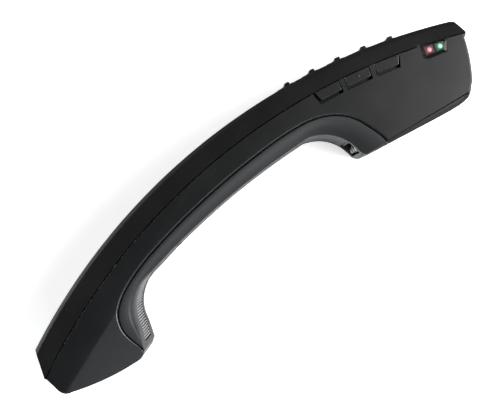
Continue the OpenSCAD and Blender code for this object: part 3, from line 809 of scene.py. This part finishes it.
# ---- side keys --------------------------------------------------------------------
# Three keys in the flat side along the seam: volume down, mute, volume up. Hard
# caps with a chamfered rim, hung on a flange under the shell.
side_key_plastic = black_plastic("side key plastic", (0.006, 0.0064, 0.0066), 0.3)
for i, node in ((-1, "side_key_down"), (0, "side_key_mute"), (1, "side_key_up")):
    cap = bmesh.new()
    for low, high, spread, chamfered in ((42.95, 43.45, 0.7, 0), (43.35, 46.1, 0, 1)):
        left = key_long / 2 + spread * mm + (0.2 * mm if i == -1 and spread else 0)
        right = key_long / 2 + spread * mm
        foot = 0.15 * mm - key_high if chamfered else -key_high - 1.2 * spread * mm
        slab = upright_slab(key_corners(i, left, right, 0.3 * spread * mm, foot),
                            low * mm, (high - (0.3 if chamfered else 0)) * mm)
        corner_edges = [e for e in slab.edges if abs(e.verts[0].co.z - e.verts[1].co.z) > 0.4 * mm]
        bmesh.ops.bevel(slab, geom=corner_edges, offset=0.35 * mm, offset_type="OFFSET", segments=3,
                        profile=0.5, affect="EDGES", material=-1)
        if chamfered:
            top_face = max(slab.faces, key=lambda f: f.calc_center_median().z)
            for thin, lift in ((0.03, 0.1), (0.06, 0.1), (0.09, 0.07), (0.11, 0.03)):
                bmesh.ops.inset_individual(slab, faces=[top_face], thickness=thin * mm,
                                           use_even_offset=True)
                bmesh.ops.translate(slab, vec=(0, 0, lift * mm), verts=top_face.verts)
        add_to(cap, slab)
    if i == 0:          # a raised dash marks the mute key by touch
        turned = Matrix.Translation((*beside_seam(0, 0, -key_high / 2 + 0.1 * mm), 46.08 * mm)) @ \
            Matrix.Rotation(key_turn, 4, "Z")
        dash = block((-0.75 * mm, -0.22 * mm, -0.1 * mm), (0.75 * mm, 0.22 * mm, 0.12 * mm),
                     0.09 * mm)
        bmesh.ops.transform(dash, matrix=turned, verts=dash.verts)
        add_to(cap, dash)
    even(finish_piece(cap, node + "_cap", node, side_key_plastic, [node],
                      smooth=28))

# ---- lamp window ------------------------------------------------------------------
# A glossy black surround sunk in the side of the head, with chamfered edges
# round a flat panel, and two moulded lenses over a red and a green lamp.
gloss_black = black_plastic("gloss black", (0.003, 0.003, 0.0033), 0.27, depth=0.000004)
red_at, green_at = (89.9, -1.9), (94, -3.4)


def lens_with_painted_glow(name, rim, middle, at):
    # tinted clear plastic with a painted glow: paler in the middle and faintly self-lit, standing
    # in for the lamp beneath shining through
    plastic, nodes, links, skin = blank_finish(name)
    place = nodes.new("ShaderNodeTexCoord")
    centre = nodes.new("ShaderNodeMapping")
    centre.inputs["Location"].default_value = (-at[0] * mm, -at[1] * mm, 0)
    links.new(place.outputs["Object"], centre.inputs["Vector"])
    flat = nodes.new("ShaderNodeVectorMath")
    flat.operation = "MULTIPLY"
    flat.inputs[1].default_value = (1, 1, 0)
    links.new(centre.outputs["Vector"], flat.inputs[0])
    away = nodes.new("ShaderNodeVectorMath")
    away.operation = "LENGTH"
    links.new(flat.outputs["Vector"], away.inputs[0])
    spread = nodes.new("ShaderNodeMapRange")
    spread.inputs["From Min"].default_value = 0.55 * mm
    spread.inputs["From Max"].default_value = 1.15 * mm
    links.new(away.outputs["Value"], spread.inputs["Value"])
    # painted glow: the pale middle colour stands in for light from the lamp beneath
    tint = two_tone(nodes, links, spread.outputs["Result"], middle, rim)
    links.new(tint, skin.inputs["Base Color"])
    links.new(tint, skin.inputs["Emission Color"])
    # painted glow: the lens emits its own colour a little, though it is no lamp
    skin.inputs["Emission Strength"].default_value = 0.07
    skin.inputs["Roughness"].default_value = 0.35
    skin.inputs["Coat Weight"].default_value = 0.1
    return plastic


red_lens = lens_with_painted_glow("red lens with painted glow", (0.075, 0.018, 0.022), (0.72, 0.24, 0.28), red_at)
green_lens = lens_with_painted_glow("green lens with painted glow", (0.012, 0.055, 0.03), (0.3, 0.68, 0.46), green_at)
surround = [near_lamps(u, v) for u, v in (
    (-5.35, 3.1), (-5.62, 1.9), (-5.75, -2.15), (-5.2, -3.05), (-4.45, -3.45), (3.42, -3.27),
    (3.88, -2.9), (5.25, 1.2), (5.32, 1.72))]
window = upright_slab(surround, 42.6 * mm, 45.62 * mm)
top_face = max(window.faces, key=lambda f: f.calc_center_median().z)
bmesh.ops.inset_individual(window, faces=[top_face], thickness=0.12 * mm)
bmesh.ops.inset_individual(window, faces=[top_face], thickness=1.15 * mm)
bmesh.ops.translate(window, vec=(0, 0, -0.95 * mm), verts=top_face.verts)
lamp_window = finish_piece(window, "lamp_surround", "case", gloss_black,
                           ["lamp_bezel"], smooth=15)
sinks = bmesh.new()
for at in (red_at, green_at):
    sink = bmesh.new()
    bmesh.ops.create_cone(sink, cap_ends=True, segments=32, radius1=1.25 * mm, radius2=1.25 * mm,
                          depth=8 * mm)
    bmesh.ops.translate(sink, vec=(at[0] * mm, at[1] * mm, 44 * mm), verts=sink.verts)
    add_to(sinks, sink)
cut(lamp_window, [cutter(sinks, "lens_holes")])
even(lamp_window)

for name, at, glass, glow in (("lamp_red", red_at, red_lens, "red_lens"),
                              ("lamp_green", green_at, green_lens, "green_lens")):
    lens = bmesh.new()
    rod = bmesh.new()
    bmesh.ops.create_cone(rod, cap_ends=True, segments=32, radius1=1.1 * mm, radius2=1.1 * mm,
                          depth=2.2 * mm)
    bmesh.ops.translate(rod, vec=(0, 0, 43.7 * mm), verts=rod.verts)
    top_face = max(rod.faces, key=lambda f: f.calc_center_median().z)
    for thin, lift in ((0.25, 0.13), (0.3, 0.1), (0.3, 0.04)):
        bmesh.ops.inset_individual(rod, faces=[top_face], thickness=thin * mm)
        bmesh.ops.translate(rod, vec=(0, 0, lift * mm), verts=top_face.verts)
    add_to(lens, rod)
    pad = block((-1.75 * mm, -1.45 * mm, 44.6 * mm), (1.75 * mm, 1.45 * mm, 44.78 * mm),
                0.08 * mm, 1)
    bmesh.ops.rotate(pad, verts=pad.verts[:], cent=(0, 0, 0),
                     matrix=Matrix.Rotation(lamp_turn, 3, "Z"))
    add_to(lens, pad)
    bmesh.ops.translate(lens, vec=(at[0] * mm, at[1] * mm, 0), verts=lens.verts)
    finish_piece(lens, name + "_lens", "case", glass, [name], smooth=30)


# ---- grille ------------------------------------------------------------------------
# A curved strip of fine ribs down the inside of the mouthpiece, moulded on its own
# and pressed in from behind, with black felt under it against dust. The ribs' pale grey
# is a painted highlight, and the felt's near black is partly painted shade between them.
def mottled(name, dark, light, rough, size=900, depth=0.00001, metal=0.0):
    # a moulded, painted or plated finish whose colour drifts between two tones
    finish, nodes, links, skin = blank_finish(name)
    grain_node = nodes.new("ShaderNodeGroup")
    grain_node.node_tree = moulded_grain
    grain_node.inputs["Grain size"].default_value = size
    links.new(two_tone(nodes, links, grain_node.outputs["Mottle"], dark, light),
              skin.inputs["Base Color"])
    vary_shine(nodes, links, skin, grain_node.outputs["Height"], rough, 0.08)
    skin.inputs["Metallic"].default_value = metal
    emboss(nodes, links, skin, grain_node.outputs["Height"], 0.4, depth)
    return finish


def finish_node(node, finish):
    # a shape that is right as drawn keeps it and gets its finish
    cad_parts[node].data.materials.clear()
    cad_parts[node].data.materials.append(finish)


# painted highlight: the ribs are made pale grey, far lighter than the black mouldings, so that they
# look lit
finish_node("grille", mottled("grille plastic with painted highlight", (0.14, 0.148, 0.148), (0.2, 0.208, 0.208), 0.34))
# the felt is black in its own right, and is also made near black as painted shade in the gaps
# between the ribs
finish_node("grille_felt", mottled("felt", (0.004, 0.004, 0.004), (0.014, 0.014, 0.014), 0.95,
                                   size=5000, depth=0.00012))

# ---- dock contacts -----------------------------------------------------------------
# Three bent leaves of plated spring strip in a black socket at the head end of
# the hollow, where the cradle's charging pins enter.
finish_node("contact_block", mottled("socket plastic", (0.008, 0.008, 0.009), (0.014, 0.014, 0.015),
                                     0.45, size=2600, depth=0.00002))
finish_node("dock_contacts", mottled("contact plating", (0.8, 0.77, 0.68), (0.95, 0.92, 0.84), 0.3,
                                     metal=1.0, size=1400, depth=0.000006))

# ---- battery bay -------------------------------------------------------------------
# Two rechargeable cells in printed sleeves lie side by side in a moulded tray,
# between plated end plates and coiled springs. Four screws hold the case.
finish_node("battery_tray", mottled("tray plastic", (0.018, 0.018, 0.019), (0.03, 0.03, 0.031),
                                    0.55, size=2200, depth=0.00002))


def sleeve(name):
    # heat-shrunk sleeve: green, with a plain darker band round one end
    wrap, nodes, links, skin = blank_finish(name)
    place = nodes.new("ShaderNodeTexCoord")
    along = nodes.new("ShaderNodeSeparateXYZ")
    links.new(place.outputs["Object"], along.inputs[0])
    bands = nodes.new("ShaderNodeValToRGB")
    bands.color_ramp.interpolation = "CONSTANT"
    bands.color_ramp.elements[0].color = (0.05, 0.26, 0.12, 1)
    bands.color_ramp.elements[1].position = 0.72
    bands.color_ramp.elements[1].color = (0.7, 0.7, 0.66, 1)
    cap = bands.color_ramp.elements.new(0.955)
    cap.color = (0.5, 0.5, 0.48, 1)
    run = nodes.new("ShaderNodeMapRange")
    run.inputs["From Min"].default_value = -23.6 * mm
    run.inputs["From Max"].default_value = 20.9 * mm
    links.new(along.outputs["X"], run.inputs["Value"])
    links.new(run.outputs["Result"], bands.inputs["Fac"])
    links.new(bands.outputs["Color"], skin.inputs["Base Color"])
    steel = nodes.new("ShaderNodeMath")
    steel.operation = "GREATER_THAN"
    steel.inputs[1].default_value = 0.955
    links.new(run.outputs["Result"], steel.inputs[0])
    links.new(steel.outputs[0], skin.inputs["Metallic"])
    wrinkle = nodes.new("ShaderNodeTexNoise")
    wrinkle.inputs["Scale"].default_value = 260
    links.new(place.outputs["Object"], wrinkle.inputs["Vector"])
    emboss(nodes, links, skin, wrinkle.outputs["Fac"], 0.3, 0.00003)
    skin.inputs["Roughness"].default_value = 0.3
    return wrap


cell_sleeve = sleeve("cell sleeve")
finish_node("battery_cell_a", cell_sleeve)
finish_node("battery_cell_b", cell_sleeve)
finish_node("battery_springs", mottled("spring steel", (0.42, 0.42, 0.41), (0.62, 0.62, 0.6), 0.3,
                                       metal=1.0, size=1800, depth=0.000008))
finish_node("battery_plates", mottled("plated steel", (0.55, 0.53, 0.46), (0.72, 0.7, 0.62), 0.28,
                                      metal=1.0, size=1300, depth=0.000008))
finish_node("case_screws", mottled("screw steel", (0.32, 0.32, 0.33), (0.5, 0.5, 0.51), 0.35,
                                   metal=1.0, size=1500, depth=0.00001))


# ---- boards ------------------------------------------------------------------------
# Circuit boards under green lacquer: the keypad board behind the keys, the main
# board over the battery tray and a strip behind the side keys and lamps.
def lacquered_board(name, turn):
    board, nodes, links, skin = blank_finish(name)
    place = nodes.new("ShaderNodeTexCoord")
    lie = nodes.new("ShaderNodeMapping")
    lie.inputs["Rotation"].default_value = turn
    links.new(place.outputs["Object"], lie.inputs["Vector"])
    tracks = nodes.new("ShaderNodeTexBrick")
    tracks.inputs["Scale"].default_value = 260
    tracks.inputs["Mortar Size"].default_value = 0.07
    tracks.inputs["Brick Width"].default_value = 0.9
    tracks.inputs["Row Height"].default_value = 0.28
    tracks.inputs["Color1"].default_value = (0.012, 0.075, 0.03, 1)
    tracks.inputs["Color2"].default_value = (0.016, 0.09, 0.036, 1)
    tracks.inputs["Mortar"].default_value = (0.03, 0.15, 0.06, 1)
    links.new(lie.outputs["Vector"], tracks.inputs["Vector"])
    pads = nodes.new("ShaderNodeTexVoronoi")
    pads.inputs["Scale"].default_value = 330
    links.new(lie.outputs["Vector"], pads.inputs["Vector"])
    few = nodes.new("ShaderNodeMath")
    few.operation = "LESS_THAN"
    few.inputs[1].default_value = 0.13
    links.new(pads.outputs["Distance"], few.inputs[0])
    tint = nodes.new("ShaderNodeMix")
    tint.data_type = "RGBA"
    tint.inputs["B"].default_value = (0.6, 0.58, 0.5, 1)
    links.new(tracks.outputs["Color"], tint.inputs["A"])
    links.new(few.outputs[0], tint.inputs["Factor"])
    links.new(tint.outputs["Result"], skin.inputs["Base Color"])
    links.new(few.outputs[0], skin.inputs["Metallic"])
    emboss(nodes, links, skin, tracks.outputs["Fac"], 0.25, 0.00003)
    skin.inputs["Roughness"].default_value = 0.32
    return board


flat_board = lacquered_board("lacquered board", (0, 0, radians(14)))
edge_board = lacquered_board("lacquered board on edge", (radians(90), 0, 0))
finish_node("side_board", flat_board)
finish_node("main_board", edge_board)
finish_node("keypad_board", edge_board)
finish_node("side_switches", mottled("switch plastic", (0.03, 0.03, 0.03), (0.06, 0.06, 0.062), 0.4,
                                     size=1600))
finish_node("lamp_leds", mottled("lamp body", (0.62, 0.62, 0.58), (0.78, 0.78, 0.72), 0.35,
                                 size=1200))
finish_node("keymat", mottled("silicone rubber", (0.1, 0.105, 0.115), (0.14, 0.145, 0.155), 0.62,
                              size=1500, depth=0.00002))
finish_node("snap_domes", mottled("dome steel", (0.55, 0.55, 0.54), (0.75, 0.75, 0.73), 0.22,
                                  metal=1.0, size=900, depth=0.000006))
finish_node("shield_can", mottled("tinned sheet", (0.5, 0.5, 0.48), (0.66, 0.66, 0.64), 0.34,
                                  metal=1.0, size=420, depth=0.00002))
finish_node("antenna", mottled("copper strip", (0.62, 0.28, 0.15), (0.8, 0.42, 0.24), 0.3,
                               metal=1.0, size=700, depth=0.00001))

# ---- head and mouthpiece inside ------------------------------------------------------
# The earpiece on its foam ring, the ringer under the grille and the microphone
# in a rubber boot, joined to the main board by flat ribbon cables.
finish_node("earpiece", mottled("earpiece metal", (0.2, 0.2, 0.21), (0.32, 0.32, 0.33), 0.4,
                                metal=1.0, size=1100))
finish_node("earpiece_gasket", mottled("foam ring", (0.008, 0.008, 0.008), (0.022, 0.022, 0.022),
                                       0.93, size=3200, depth=0.00015))
finish_node("loudspeaker", mottled("ringer metal", (0.3, 0.3, 0.3), (0.45, 0.45, 0.45), 0.36,
                                   metal=1.0, size=1000))
finish_node("microphone", mottled("capsule metal", (0.5, 0.5, 0.49), (0.68, 0.68, 0.66), 0.3,
                                  metal=1.0, size=1300))
finish_node("mic_boot", mottled("boot rubber", (0.009, 0.009, 0.009), (0.018, 0.018, 0.018), 0.75,
                                size=2400, depth=0.00003))


def ribbon_cable(name):
    # grey ribbon with a fine line between its wires, which run side by side in Z
    cable, nodes, links, skin = blank_finish(name)
    place = nodes.new("ShaderNodeTexCoord")
    wires = nodes.new("ShaderNodeTexWave")
    wires.bands_direction = "Z"
    wires.inputs["Scale"].default_value = 320
    wires.inputs["Distortion"].default_value = 0.2
    links.new(place.outputs["Object"], wires.inputs["Vector"])
    links.new(two_tone(nodes, links, wires.outputs["Fac"], (0.12, 0.12, 0.125), (0.27, 0.27, 0.28)),
              skin.inputs["Base Color"])
    emboss(nodes, links, skin, wires.outputs["Fac"], 0.5, 0.0001)
    skin.inputs["Roughness"].default_value = 0.5
    return cable


finish_node("harness", ribbon_cable("ribbon cable"))
